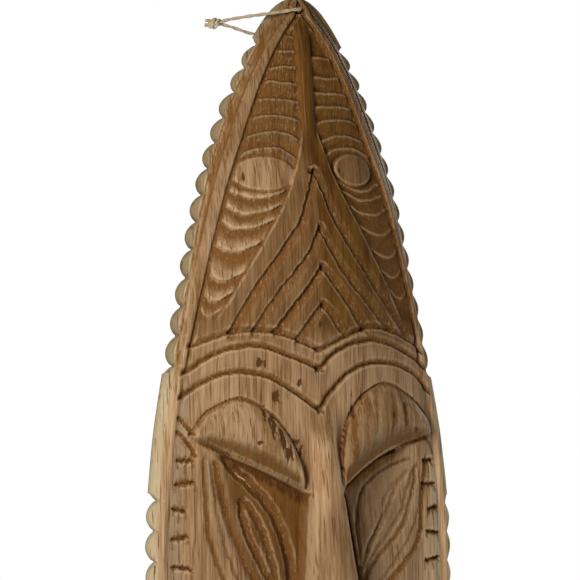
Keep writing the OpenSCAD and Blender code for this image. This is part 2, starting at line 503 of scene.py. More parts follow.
def crescents_below(side, z, across, ragged, saw, lip):
    """The sagging scales under an oval, added to the steps, and the dark cuts along their edges."""
    dark = np.zeros_like(z)
    oz = OVALS[side][1]
    tall = 3.6 if side < 0 else 2.6
    sag = -6.5 * (1 - (2 * across - 1) ** 2) + 2.6
    lows = STEPS_BELOW[side]
    for high, low in zip([oz - 2] + lows[:-1], lows):
        upper = high + sag + ragged
        edge = low + sag + ragged
        s = (upper - z) / np.maximum(upper - edge, 0.5)
        tread = (s >= 0) & (s < 1) & (z < oz)
        scale = tall * clamp(s) ** 1.2 * ramp(0, 0.14, 1 - s)
        saw = np.where(tread, scale, saw)
        dark = np.where(tread & (side > 0), ramp(0.78, 0.92, s + 0.1 * ragged), dark)
        lip = np.where(tread, ramp(0.15, 0.8, s + 0.1 * ragged), lip)
    return saw, lip, dark


def oval(c, side, room, fade, floor, low):
    """The oval stands in its pocket like a seed, inside its own cut rim."""
    ox, oz, rx, rz = OVALS[side]
    q = np.sqrt(((np.abs(c.x) - ox) / rx) ** 2 + ((c.z - oz) / rz) ** 2)
    seed = np.where(room, ramp(1.1, 1.0, q), 0)
    dome = 2.2 + 1.2 * np.sqrt(clamp(1 - (q / 1.05) ** 2))
    c.height += seed * (low - floor * fade + dome * fade)
    rim = np.where(room, peak(q - 1.05, 0.1) * fade, 0)
    on = seed > 0.5
    c.stain[on] = 0.05
    c.torn[on] = 0.1
    c.rubbed[on] = 0.45 if side < 0 else 0.27
    c.cut(rim, 1.6, 0.95)


def pocket(c, side):
    """The pocket between the border and the centre band, with its steps, oval and crescents."""
    ax, z = np.abs(c.x), c.z
    inner = curve(BAND_EDGE, z)
    outer = c.width - border_edge(z) - 2 * curve(BEAD_HALF, z) - 1.4
    room = (np.sign(c.x) == side) & (z < POCKET_TOP) & (z > POCKET_FOOT) & (ax > inner) & (ax < outer)
    across = clamp((ax - inner) / np.maximum(outer - inner, 1))
    fade = ramp(0, 1.4, ax - inner) * ramp(0, 2.0, outer - ax)
    fade = fade * ramp(POCKET_FOOT, POCKET_FOOT + 12, z) * ramp(POCKET_TOP, POCKET_TOP - 6, z)
    floor = 4.2 - 1.2 * across
    ragged = 0.2 * noise(ax / 2.4, z / 9, 77 + side) + 0.8 * noise(ax / 7, z / 9, 78 + side)
    saw, lip = steps_above(side, z, across, ragged)
    saw, lip, dark = crescents_below(side, z, across, ragged, saw, lip)
    low = np.where(room, fade * (floor - saw), 0)
    c.height -= low
    # lighter stain on the lips: wear and painted highlight, more on the left
    shade, worn_and_highlight = (0.75, 0.6) if side < 0 else (0.75 - 0.35 * ramp(-130, -100, z), 0.15)
    brown = fade * np.maximum(shade - worn_and_highlight * lip, 1.4 * dark)
    if side < 0:
        c.mark("rubbed", 0.6 * lip * fade, room & (z < OVALS[side][1]))
    c.mark("stain", brown, room)
    c.mark("torn", (0.8 if side < 0 else 0.4) * fade, room)
    wall = peak(ax - inner - 0.8, 1.7)
    c.mark("stain", wall * ramp(-188, -176, z), room)
    oval(c, side, room, fade, floor, low)


def centre_ridge(c):
    """The narrow upright ridge under the hole and the raised band that it opens into."""
    ax, z = np.abs(c.x), c.z
    on = ramp(-8, -18, z) * ramp(-84, -72, z)
    c.height += on * 1.2 * clamp(1 - (ax / 3.4) ** 2)
    edge = peak(ax - 4.3, 1.6) * on
    c.cut(edge, 2.0, 1.0)


def chevrons(c):
    for side in (-1, 1):
        for i, arm in enumerate(CHEVRONS[side]):
            stain = (0.75, 0.6, 1.0, 0.7)[i] if side < 0 else 0.75
            c.groove(arm, 4.6, 1.5, 2.9, stain=stain, bare=max(0, side), flare=0.25,
                     wobble=0.35, seed=31 + i)
    notch = clamp(1 - np.maximum(np.abs(c.x + 1.5) / 3, np.abs(c.z + 100.5) / 2))
    c.height -= 2.0 * ramp(0, 0.4, notch)
    c.mark("stain", ramp(0, 0.3, notch))


def brow_arcs(c):
    for side in (-1, 1):
        for i, arc in enumerate(ARCS[side]):
            line = arc if side > 0 else arc[::-1]
            # the slanted wall is above the line and the sharp one below it
            stain = (0.35, 0.8, 0.75)[i]
            c.groove(line, 3.6, 0.8, 2.8, stain=stain, crisp=1.6, wobble=0.35, seed=41 + i)
            c.groove(line, 0.8, 0.6, 0.9, stain=1.1, wobble=0.35, seed=41 + i)


def brow_bulges(c):
    """Two bulges with a cut above, an underside made duller, darker and browner as painted shade, a
    dark crease where they meet the eyes and a painted shadow line under the right one.
    """
    for side in (-1, 1):
        ax = np.abs(c.x)
        top = curve(BROW_TOP[side], ax)
        bottom = curve(BROW_BOTTOM[side], ax)
        lo, hi = BROW_TOP[side][0][0], BROW_TOP[side][-1][0]
        on = (np.sign(c.x) == side) & (ax > lo) & (ax < hi)
        tall = np.maximum(top - bottom, 0.5)
        v = (top - c.z) / tall
        size = ramp(0, 22, tall)
        swell = np.sin(np.pi / 2 * clamp(v / BROW_TURN)) ** 0.9
        under = 1 - (np.clip(v - BROW_TURN, 0, 1 - BROW_TURN) / (1 - BROW_TURN)) ** 1.4
        inside = on & (v >= 0) & (v <= 1)
        c.height += np.where(inside, size * (BROW_RISE * swell * under - 0.9), 0)
        cut = np.where(on, peak(v * tall - 0.5, np.where(v < 0, 1.0, 2.6)), 0)
        c.cut(cut, 1.6, 0.85)
        crease = np.where(on, peak((v - 1) * tall, 2.0) * size, 0)
        c.cut(crease, 1.8, 1.5)
        # painted shade: the underside of each bulge is made duller, darker and browner
        shade = ramp(0.55, 0.85, v) if side < 0 else ramp(0.4, 0.9, v)
        streak = 0.45 + 0.4 * noise(c.x / 1.7, c.z / 15, 19)
        painted_shade_grey = size * shade * (0.95 - 0.75 * streak) * (0.7 if side < 0 else 1.3)
        c.mark("shade_grey", painted_shade_grey, inside)
        c.mark("wash", 0.9 * size * shade, inside)
        # brown streaks of stain, with painted shade on the underside
        rubbed = size * (streak * shade if side < 0 else np.maximum(0.45 * shade, streak))
        if side > 0:
            rubbed = rubbed + 1.1 * streak * ramp(27, 15, ax)
        c.mark("stain", rubbed, inside)
    # painted shadow: a black-brown line under the right brow
    shadow = [(12, -289), (18, -284.5), (28, -276.5), (39, -269.5), (52, -264)]
    c.groove(shadow, 1.0, 1.8, 3.5, stain=2.0, crisp=2.0)


def from_nose(c):
    """How far each point lies to either side of the middle of the nose."""
    return np.abs(c.x - curve(NOSE_SWAY, c.z))


def eye_hollows(c):
    """The sunk field between brow, nose and cheek, deepest under the brow and beside the nose. Its
    depth browns it, as stain and painted shade, and darkens and dulls it as painted shade, with a
    painted shadow under the brow and painted shade beside the nose.
    """
    for side in (-1, 1):
        ax = np.abs(c.x)
        bottom = curve(BROW_BOTTOM[side], ax)
        outside = from_nose(c) - curve(NOSE_HALF, c.z)
        outer = 70 - 24 * ramp(-290, -372, c.z)
        on = np.sign(c.x) == side
        under_brow = ramp(0, 1.5, bottom - c.z)
        by_nose = ramp(-3, 1, outside)
        by_cheek = ramp(0, 26, outer - ax)
        foot = ramp(-412, -345, c.z)
        fade = 0.55 + 0.45 * ramp(50, 6, bottom - c.z)
        deep = under_brow * by_nose * by_cheek * foot
        c.height -= np.where(on, EYE_DEPTH * deep * fade, 0)
        line = np.abs(np.array(EYE_CUTS[side][0][0]))
        by_cut = ramp(-2, 3, curve([[-z, x] for x, z in line], c.z) - ax)
        # by its depth the field is browned (stain and painted shade), darkened and dulled (painted
        # shade)
        brown = 0.4 + 0.25 * by_cut if side < 0 else 0.4
        c.mark("stain", brown * deep, on)
        c.mark("wash", (1.0 if side < 0 else 0.3) * deep, on)
        c.mark("shade_grey", (0.2 if side < 0 else 0.55) * deep, on)
        # painted shadow under the brow
        brow_shadow = ramp(16, 3, bottom - c.z) * deep * ramp(66, 50, ax)
        c.mark("stain", (1.35 if side < 0 else 0.9) * brow_shadow, on)
        # painted shade in a band beside the nose
        beside = ramp(6, 1, outside) * deep
        c.mark("stain", (0.75 if side < 0 else 0.35) * beside, on)


def eyes(c):
    """Slanting leaf eyes: nested cuts that fan out from the temple and meet low beside the nose."""
    for side in (-1, 1):
        for i, (line, left, right, depth, stain) in enumerate(EYE_CUTS[side]):
            broad = 1.5 if side < 0 else 1.2
            c.groove(line, broad * left, broad * right, depth, fade=0.08, stain=stain, crisp=1.25,
                     wobble=0.4, seed=61 + i)


def nose(c):
    """A ridge that squares off towards its tip, with a cut along its right side browned black as a
    painted shadow, and two wings.
    """
    half = curve(NOSE_HALF, c.z)
    tall = curve(NOSE_HEIGHT, c.z)
    inside = (c.z < -232) & (c.z > -400)
    q = clamp(from_nose(c) / half)
    square = ramp(-250, -300, c.z)
    section = (1 - q**2) ** (1.3 - 0.7 * square)
    c.height += np.where(inside, tall * section, 0)
    foot = peak(from_nose(c) - half - 0.3, 1.8)
    foot = foot * ramp(-280, -296, c.z) * ramp(-402, -392, c.z)
    c.cut(foot, 1.2, 0.85)
    kept = np.where(inside & (q < 0.9), 0.25 + 0.75 * ramp(-270, -240, c.z), 1)
    c.stain *= kept
    # painted shadow: a black line along the right foot of the nose
    shadow = [(15, -287), (18.8, -293), (21.4, -312), (26, -341), (29.5, -368), (30, -392)]
    c.groove(shadow, 2.0, 1.8, 5.0, stain=2.6, crisp=3.0)
    root = ramp(-229, -238, c.z) * ramp(-272, -248, c.z)
    root = root * ramp(11, 3, np.abs(c.x - 2))
    streak = clamp(0.2 + 0.7 * noise(c.x / 1.4, c.z / 12, 23))
    c.mark("stain", 0.8 * root * streak)
    for side in (-1, 1):
        wing = mirrored([(9, -362), (17, -368), (21, -380), (20, -391), (12, -396)], side)
        c.groove(wing, 1.5, 1.5, 1.6, fade=0.2, stain=0.8, seed=71)


def splits(c, edge, long, z, i, side):
    """Short splits along the grain, hanging from a cut across the cheek."""
    for k, share in enumerate((0.1, 0.45, 0.9)):
        drop = 5.5 + 3.5 * math.sin(2.9 * i + 1.7 * k)
        x = edge - share * long
        split = mirrored([(x, z - 0.5), (x + 0.4, z - drop)], side)
        c.groove(split, 0.8, 0.8, 0.9, fade=0.3, stain=0.75, crisp=1.4, wobble=0.3, seed=141 + i)


def cheeks(c):
    """Short cuts across the cheeks, a line beside the lower ones and a few cuts at the temples."""
    for side in (-1, 1):
        for i, z in enumerate(CHEEK_CUTS[side]):
            edge = float(curve(OUTLINE, np.array([z]))[0]) - 11.5
            long = 10.5 + 2.5 * math.sin(2.1 * i) + (min(i, 2) if side > 0 else 0)
            splits(c, edge, long, z, i, side)
            tilt = 1.2 * math.sin(3.7 * i)
            tall = 2.6 + 0.6 * math.sin(1.3 * i)
            cut = [(edge - long, z - tilt), (edge - long / 2, z), (edge + 0.8, z + tilt)]
            cut = mirrored(cut, side)
            c.groove(cut, 0.7 * tall, 1.4 * tall, 2.6, fade=0.25, stain=0.75, crisp=1.3, wobble=0.6,
                     seed=81 + i)
            c.groove(cut, 0.7, 1.0, 1.6, fade=0.2, stain=1.4, wobble=0.6, seed=81 + i)
    lower = {-1: [(-66, -352), (-66, -390), (-62, -440)], 1: [(68, -348), (68, -388), (63, -440)]}
    for side in (-1, 1):
        c.groove(lower[side], 1.4, 1.4, 1.0, fade=0.25, stain=0.6, wobble=0.5, seed=99)
    for line in ([(-79, -242), (-71, -254)], [(-80, -250), (-75, -257), (-70, -267)]):
        c.groove(line, 1.8, 1.5, 2.0, fade=0.1, stain=1.0, wobble=0.4)
    c.groove([(73, -256), (79, -262), (81, -268)], 1.2, 1.2, 1.2, fade=0.1, stain=0.8)


def mouth_and_chin(c):
    """The part under the nose: closed lips, the folds beside them and the bands of the chin."""
    x, z = c.x, c.z
    for cz, tall, wide in ((-438, 15, 36), (-459, 15, 31)):
        q = (x / wide) ** 2 + ((z - cz) / tall) ** 2
        c.height += 7.5 * clamp(1 - q) ** 0.7
    lips = [(-36, -449), (-18, -447.5), (0, -448.5), (18, -447.5), (36, -449)]
    c.groove(lips, 2.4, 2.4, 4.0, fade=0.08, stain=1.0, seed=101)
    upper = [(-37, -449), (-24, -425), (0, -421), (24, -425), (37, -449)]
    c.groove(upper, 1.6, 1.6, 1.4, fade=0.02, stain=0.9, seed=102)
    lower = [(-37, -449), (-22, -473), (0, -477), (22, -473), (37, -449)]
    c.groove(lower, 1.6, 1.6, 1.4, fade=0.02, stain=0.9, seed=103)
    chin = (x / 34) ** 2 + ((z + 510) / 26) ** 2
    c.height += 5.0 * clamp(1 - chin) ** 0.8
    for side in (-1, 1):
        for i in range(3):
            out = 9.0 * i
            fold = [(26 + out, -392 + 3 * i), (42 + out, -418), (46 + out, -450), (36 + out, -484)]
            inner, outer = (1.2, 4.0) if side > 0 else (4.0, 1.2)
            c.groove(mirrored(fold, side), inner, outer, 1.9, fade=0.08, stain=0.9, wobble=0.3,
                     seed=111 + i)
    for i in range(3):
        low = -536 - 11 * i
        wide = 38 - 7 * i
        half = wide / 2
        bow = [(-wide, low + 11), (-half, low + 2), (0, low), (half, low + 2), (wide, low + 11)]
        c.groove(bow, 4.0, 1.0, 1.9, fade=0.06, stain=0.9, wobble=0.3, seed=121 + i)


def hand_work(c):
    """Gouge facets, torn and smooth grain, dark flecks, a crack in the tip and the hole's pit."""
    x, z = c.x, c.z
    facets = 0.36 * noise(x / 9, z / 17, 3) + 0.2 * noise(x / 3.4, z / 12, 5)
    c.height += facets * ramp(RIM_FRONT - 1, RIM_FRONT + 3, c.height)
    torn = clamp(np.maximum(0.5 * c.stain, c.torn))
    chips = 0.25 * noise(x / 1.5, z / 2.2, 7) + 0.25 * noise(x / 0.9, z / 4.5, 8)
    c.height += torn * chips
    grain = 0.07 * noise(x / 0.9, z / 14, 13) + 0.05 * noise(x / 1.6, z / 30, 14)
    c.height += (1 - torn) * grain
    for i, (kx, kz, rx, rz) in enumerate(KNOT_MARKS):
        wave = 0.3 * noise(x / 2.1, z / 4.2, 200 + i)
        q = np.sqrt(((x - kx) / (1.5 * rx)) ** 2 + ((z - kz) / (1.4 * rz)) ** 2) + wave
        spot = clamp(1.25 - q)
        c.mark("knot", spot)
        c.height -= 0.4 * ramp(0.4, 0.8, spot)
    crack = peak(x + 0.6 + 0.3 * noise(z / 3, z * 0, 9), 0.45)
    crack = crack * ramp(1.5, 3.5, z)
    c.height -= 0.8 * crack
    c.mark("knot", crack)
    r = np.hypot(x, z)
    pit = ramp(HOLE_RADIUS + 0.3, HOLE_RADIUS - 0.4, r)
    c.height -= HOLE_PIT * pit
    c.mark("stain", ramp(4.2, 1.8, r))


def wash(c):
    """A thin brown layer: strong on the crown, thin on the face, hardly any on the nose. Painted shade
    is added on the right of the crown and on the crown's right flank, and it is left off the right
    cheek as painted light.
    """
    inset = c.width - np.abs(c.x)
    # painted shade: the right flank is darkened only on the crown
    shaded = 0.8 * ramp(-228, -205, c.z)
    in_lobe = inset - lobe_reach(c.z) + 4 * (c.z > -18)
    flank = np.where(c.x < 0, 0.6, shaded) * ramp(1, 3, in_lobe)
    inside = np.maximum(flank, ramp(-0.5, 0.5, inset - border_edge(c.z)))
    nose = ramp(1.0, 0.6, from_nose(c) / curve(NOSE_HALF, c.z))
    nose = nose * ramp(-248, -262, c.z) * (1 - 0.85 * ramp(-278, -312, c.z))
    crown = ramp(-208, -188, c.z)
    low = 0.42 + 0.11 * ramp(-240, -208, c.z) + 0.32 * crown + 0.12 * ramp(-110, -60, c.z)
    # the second term is painted shade: the right of the crown darker
    low = low + 0.08 * ramp(-262, -285, c.z) + 0.26 * crown * ramp(-10, 15, c.x)
    # painted light: the right cheek is left pale
    low = low * (1 - ramp(64, 74, c.x) * ramp(-262, -280, c.z))
    c.wash = np.maximum(c.wash, inside * low * (1 - nose)) * (1 - c.rubbed)


def carve(c):
    flank(c)
    for side in (-1, 1):
        pocket(c, side)
        bead(c, side)
    centre_ridge(c)
    chevrons(c)
    brow_arcs(c)
    nose(c)
    eye_hollows(c)
    brow_bulges(c)
    eyes(c)
    cheeks(c)
    mouth_and_chin(c)
    wash(c)
    hand_work(c)


# ------------ the mask body as one closed mesh

FRONT_COLUMNS = 216
WALL_COLUMNS = 9
BACK_COLUMNS = 44
ROW_PITCH = 0.9
CLOSE_ROWS = 8  # how far past the hole and off the foot the rows are closer together
ROUNDING = 0.85

# The hollow of the back is at least this share of the width, and this round across
INNER_SHARE = 0.6
SCOOP_POWER = 2.4


def row_heights():
    """Heights of the rings: close together at the tip and the foot, where the ends are rounded."""
    tip = TOP - (TOP + CLOSE_ROWS) * (1 - np.cos(np.linspace(0, math.pi / 2, 26)))
    foot = BOTTOM + CLOSE_ROWS * (1 - np.cos(np.linspace(math.pi / 2, 0, 14)))
    middle = np.arange(tip[-1] - ROW_PITCH, foot[0] + ROW_PITCH / 2, -ROW_PITCH)
    return np.concatenate([tip, middle, foot])


def rim_wall(z, side, front_height, shares):
    """The rounded edge of the rim, at the given shares of the way from its front to its back."""
    width = curve(OUTLINE, z)
    cut = scallop(z, side)
    back = CROWN_RELIEF * ramp(RELIEF_FOOT, RELIEF_TOP, z)
    x, y = [], []
    start = width - lobe_reach(z) - NOTCH_FRONT * cut
    end = width - NOTCH_BACK * cut
    for s in shares:
        a = math.pi / 2 * s
        x.append(side * (start + (np.maximum(end, start) - start) * math.sin(a) ** ROUNDING))
        y.append(-(back + (front_height - back) * math.cos(a) ** ROUNDING))
    return np.array(x), np.array(y)


def carved_front(z):
    """The grid of the front, close together at both sides, with everything carved into it."""
    u = np.linspace(-1, 1, FRONT_COLUMNS + 1)
    share = 1.1 * u - 0.1 * u**3
    base = (curve(OUTLINE, z) - lobe_reach(z))[:, None]
    cut = np.where(share[None, :] < 0, scallop(z, -1)[:, None], scallop(z, 1)[:, None])
    bite = NOTCH_FRONT * cut
    x = base * share - np.sign(share) * bite * clamp((np.abs(share) - 0.9) / 0.1)
    c = Carving(x, np.repeat(z[:, None], len(u), axis=1))
    carve(c)
    return c


def scooped_back(z):
    """The land and the gouged hollow of the back, and how brown they are."""
    width = curve(OUTLINE, z)
    inner = np.maximum(INNER_SHARE * width, width - LAND)
    back = -CROWN_RELIEF * ramp(RELIEF_FOOT, RELIEF_TOP, z)
    deep = HOLLOW * np.maximum(0, curve(SCOOP, z))
    s = np.linspace(1, -1, BACK_COLUMNS + 1)
    x = inner[:, None] * s[None, :]
    y = back[:, None] - deep[:, None] * (1 - np.abs(s[None, :]) ** SCOOP_POWER)
    z = np.repeat(z[:, None], len(s), axis=1)
    gouges = noise(x / 7, z / 19, 301) * 0.5 + noise(x / 3, z / 8, 303) * 0.15
    scooped = np.minimum(1, deep[:, None] / 4) * (1 - np.abs(s[None, :]) ** 6)
    y = y - gouges * scooped - 0.6 * scooped
    pit = ramp(HOLE_RADIUS + 0.9, HOLE_RADIUS - 0.6, np.hypot(x, z))
    y = y - HOLE_PIT * pit
    return np.stack([x, y, z], axis=-1), np.maximum(0.3 * scooped, pit)


def mask_rings():
    """Level rings round the block: its front, right wall, back and left wall; and their marks."""
    z = row_heights()
    c = carved_front(z)
    front = np.stack([c.x, -c.height, c.z], axis=-1)
    steps = (np.arange(WALL_COLUMNS) + 1) / WALL_COLUMNS
    heights = np.repeat(z[None, :], len(steps), axis=0)
    walls = {}
    for side in (-1, 1):
        wx, wy = rim_wall(z, side, c.height[:, -1 if side > 0 else 0], steps)
        walls[side] = np.stack([wx, wy, heights], axis=-1).swapaxes(0, 1)
    hollow, brown = scooped_back(z)
    ring = np.concatenate([front, walls[1], hollow, walls[-1][:, ::-1]], axis=1)

    marks = {name: np.zeros(ring.shape[:2]) for name in MARKS}
    for name, values in marks.items():
        values[:, : FRONT_COLUMNS + 1] = getattr(c, name)
    right = FRONT_COLUMNS + 1
    back = right + WALL_COLUMNS
    marks["stain"][:, back : back + BACK_COLUMNS + 1] = brown
    crown = ramp(-228, -205, z)[:, None]
    # painted shade: the right wall of the crown darkened
    marks["wash"][:, right:back] = 0.8 * crown
    marks["wash"][:, -WALL_COLUMNS:] = 0.55 * crown
    return ring, marks


def hollowness(ring, reach):
    """How far each front point lies below (+) or above (-) the mean of its surroundings, in mm."""
    n = FRONT_COLUMNS + 1
    height = -ring[:, :n, 1]
    mean = height
    for _ in range(3):
        for axis in (0, 1):
            pad = [(reach, reach) if a == axis else (0, 0) for a in (0, 1)]
            total = np.insert(np.cumsum(np.pad(mean, pad, mode="edge"), axis=axis), 0, 0, axis=axis)
            window = 2 * reach + 1
            upper = np.take(total, range(window, total.shape[axis]), axis=axis)
            lower = np.take(total, range(total.shape[axis] - window), axis=axis)
            mean = (upper - lower) / window
    inset = curve(OUTLINE, ring[:, :n, 2]) - np.abs(ring[:, :n, 0])
    start = border_edge(ring[:, :n, 2])
    out = np.zeros(ring.shape[:2])
    out[:, :n] = (mean - height) * ramp(start - 0.5, start + 1.5, inset)
    return out


def edges(ring):
    """How much greyer the wood is: 1 on the scalloped edge and the rim's wall, less on the back."""
    x, z = ring[..., 0], ring[..., 2]
    out = np.ones(ring.shape[:2])
    n = FRONT_COLUMNS + 1
    inset = curve(OUTLINE, z[:, :n]) - np.abs(x[:, :n])
    reach = border_edge(z[:, :n])
    reach = np.where(x[:, :n] > 0, reach, lobe_reach(z[:, :n]) * ramp(-8, -22, z[:, :n]) + 1)
    out[:, :n] = ramp(reach + 0.5, reach - 1.0, inset)
    back = slice(n + WALL_COLUMNS + 1, n + WALL_COLUMNS + BACK_COLUMNS)
    out[:, back] = 0.35
    return out


def paint(obj, name, values):
    layer = obj.data.attributes.new(name, "FLOAT", "POINT")
    layer.data.foreach_set("value", np.asarray(values, dtype=np.float32))


def mask_mesh():
    ring, marks = mask_rings()
    rows, columns = ring.shape[:2]
    points = np.concatenate([ring.reshape(-1, 3), ring[0].mean(0)[None], ring[-1].mean(0)[None]])
    here = np.arange(columns)
    after = (here + 1) % columns
    faces = []
    for r in range(rows - 1):
        a, b = r * columns, (r + 1) * columns
        faces += np.stack([a + here, b + here, b + after, a + after], axis=1).tolist()
    top, foot = rows * columns, rows * columns + 1
    last = (rows - 1) * columns
    faces += np.stack([np.full(columns, top), here, after], axis=1).tolist()
    faces += np.stack([np.full(columns, foot), last + after, last + here], axis=1).tolist()
    obj = make_object("carved_mask", points, faces)
    ends = [0.0, 0.0]
    edge = edges(ring)
    paint(obj, "edge", np.append(edge.ravel(), ends))
    for name in MARKS:
        paint(obj, name, np.append(marks[name].ravel(), ends))
    paint(obj, "hollow", np.append(hollowness(ring, 5).ravel(), ends))
    paint(obj, "lip", np.append(-hollowness(ring, 1).ravel(), ends))
    return obj


# ------------ twine and knot

# The loop's route, as in the CAD model: knot, front strand, hole, back strand, knot
ROUTE = [
    [-49, -4.9, -9.2], [-45, -5.9, -7.9], [-40, -7.3, -6.8], [-34, -9.1, -5.8], [-28, -10.9, -4.9],
    [-22, -12.6, -4], [-16, -14, -3.1], [-11, -14.9, -2.2], [-7, -15.4, -1.4], [-4, -15.3, -0.8],
    [-1.8, -14.4, -0.3], [-0.6, -12.8, 0], [0, -10.6, 0], [0, -8.4, 0], [0, -6.4, 0],
    [-0.2, -4.6, -0.2], [-1, -3.1, -0.8], [-2.6, -2.2, -2], [-4.6, -1.8, -3.8], [-8, -1.7, -6.8],
    [-12, -1.7, -9.8], [-16.5, -1.8, -12.3], [-22, -1.9, -13.8], [-28, -2.1, -13.9],
    [-33.5, -2.5, -12.8], [-39, -3, -11.4], [-44, -3.4, -10.4], [-49, -3.7, -9.9],
]
IN_THE_HOLE = 13  # which of its points is in the middle of the hole
KNOT = np.array([-51.6, -4.3, -9.8])
TURN_IN_KNOT = [[-52.4, -4.9, -9.4], [-53.4, -4.3, -9.6], [-52.4, -3.8, -9.8]]

# The twine's diameter, how far its two plies run in one turn round each other, and each ply's radius
# and distance from the twine's middle as shares of the diameter
TWINE = 2.1
TURN_LENGTH = 15.0
PLY_RADIUS = 0.33
PLY_OFFSET = 0.17


def closed_route():
    """Out of the front of the hole to the knot, round inside it, and back into the hole from behind."""
    front = ROUTE[IN_THE_HOLE::-1]
    back = ROUTE[:IN_THE_HOLE - 1:-1]
    return spline(front + TURN_IN_KNOT + back, per_span=8)


def frames(path):
    """A side and an up direction for each point of a path, turning as little as they can."""
    tangent = np.gradient(path, axis=0)
    tangent /= np.linalg.norm(tangent, axis=1)[:, None]
    side = np.zeros_like(path)
    s = np.array([0.03, 0.02, 1.0])
    for i, t in enumerate(tangent):
        s = s - (s @ t) * t
        s /= np.linalg.norm(s)
        side[i] = s
    return side, np.cross(tangent, side)


def distance_along(path):
    steps = np.linalg.norm(np.diff(path, axis=0), axis=1)
    return np.insert(np.cumsum(steps), 0, 0)


def strand(path, radius, turn, offset, sides=10):
    """One ply that winds round a path: its points, its faces and where its fibres run."""
    side, up = frames(path)
    out = np.cos(turn)[:, None] * side + np.sin(turn)[:, None] * up
    across = -np.sin(turn)[:, None] * side + np.cos(turn)[:, None] * up
    centre = path + offset * out
    a = np.linspace(0, 2 * math.pi, sides, endpoint=False)
    r = np.broadcast_to(radius, (len(path),))[:, None, None]
    points = centre[:, None] + r * (
        np.cos(a)[None, :, None] * out[:, None] + np.sin(a)[None, :, None] * across[:, None]
    )
    run = distance_along(path)
    n, here = len(path), np.arange(sides)
    fibre = np.stack([
        np.broadcast_to(np.cos(a), (n, sides)),
        np.broadcast_to(np.sin(a), (n, sides)),
        np.broadcast_to(run[:, None], (n, sides)),
    ], axis=-1)
    after = (here + 1) % sides
    faces = []
    for i in range(n - 1):
        p, q = i * sides, (i + 1) * sides
        faces += np.stack([p + here, p + after, q + after, q + here], axis=1).tolist()
    faces += [here[::-1].tolist(), ((n - 1) * sides + here).tolist()]
    return points.reshape(-1, 3), faces, fibre.reshape(-1, 3)


def twisted(path, diameter, start=0.0, seed=0):
    """Two plies laid round each other."""
    run = distance_along(path)
    turn = run / TURN_LENGTH * 2 * math.pi + start
    still = np.zeros_like(run)
    parts = []
    for k in (0, 1):
        uneven = 1 + 0.10 * noise(run / 5, still, seed + k)
        uneven = uneven + 0.06 * noise(run / 1.7, still, seed + 5 + k)
        ply = PLY_RADIUS * diameter * uneven
        parts.append(strand(path, ply, turn + math.pi * k, PLY_OFFSET * diameter))
    return parts


def cord_object(name, parts):
    points, faces, fibres, base = [], [], [], 0
    for p, f, fibre in parts:
        points.append(p)
        fibres.append(fibre)
        faces += [[base + i for i in face] for face in f]
        base += len(p)
    obj = make_object(name, np.concatenate(points), faces)
    layer = obj.data.attributes.new("fibre", "FLOAT_VECTOR", "POINT")
    layer.data.foreach_set("vector", np.concatenate(fibres).astype(np.float32).ravel())
    return obj


# How far the turns of the knot stand off its middle, how many there are of each end of the twine,
# and how thick the untwisting twine is there
KNOT_REACH = 2.4
KNOT_TURNS = 1.55
KNOT_TWINE = 1.2 * TWINE


def knot_turns(shift, start):
    """One end of the twine wound round the other inside the knot."""
    t = np.linspace(0, 1, 80)
    a = 2 * math.pi * KNOT_TURNS * t + start
    reach = KNOT_REACH * np.sin(np.pi * (0.12 + 0.76 * t)) ** 0.45
    slant = 0.85 * np.sin(a + 0.6)
    along = 2.3 - 4.6 * t + slant + shift
    return np.stack([along, reach * np.cos(a), reach * np.sin(a)], axis=1) + KNOT


def add_knot():
    """Both ends of the twine in one overhand knot: tight slanting turns and two short cut tails."""
    parts = twisted(knot_turns(0.5, 0.3), KNOT_TWINE, start=0.4, seed=21)
    parts += twisted(knot_turns(-0.5, 0.3 + math.pi), KNOT_TWINE, start=1.9, seed=31)
    n = 26
    core = np.stack([np.linspace(3.9, -3.4, n), np.zeros(n), np.zeros(n)], axis=1) + KNOT
    plump = 0.8 + 1.15 * np.sin(np.linspace(0.1, math.pi - 0.1, n))
    parts.append(strand(core, plump, np.zeros(n), 0.0, sides=16))
    for k, (y, z, splay) in enumerate(((-0.7, 1.0, 0.35), (0.7, -1.0, -0.1))):
        t = np.linspace(0, 1, 24)
        tail = np.stack([-2.2 - 3.3 * t, y + 0.25 * t, z + splay * t], axis=1) + KNOT
        parts += twisted(tail, KNOT_TWINE, start=1.1 * k, seed=41 + 10 * k)
    return cord_object("twine_knot", parts)


# ------------ materials


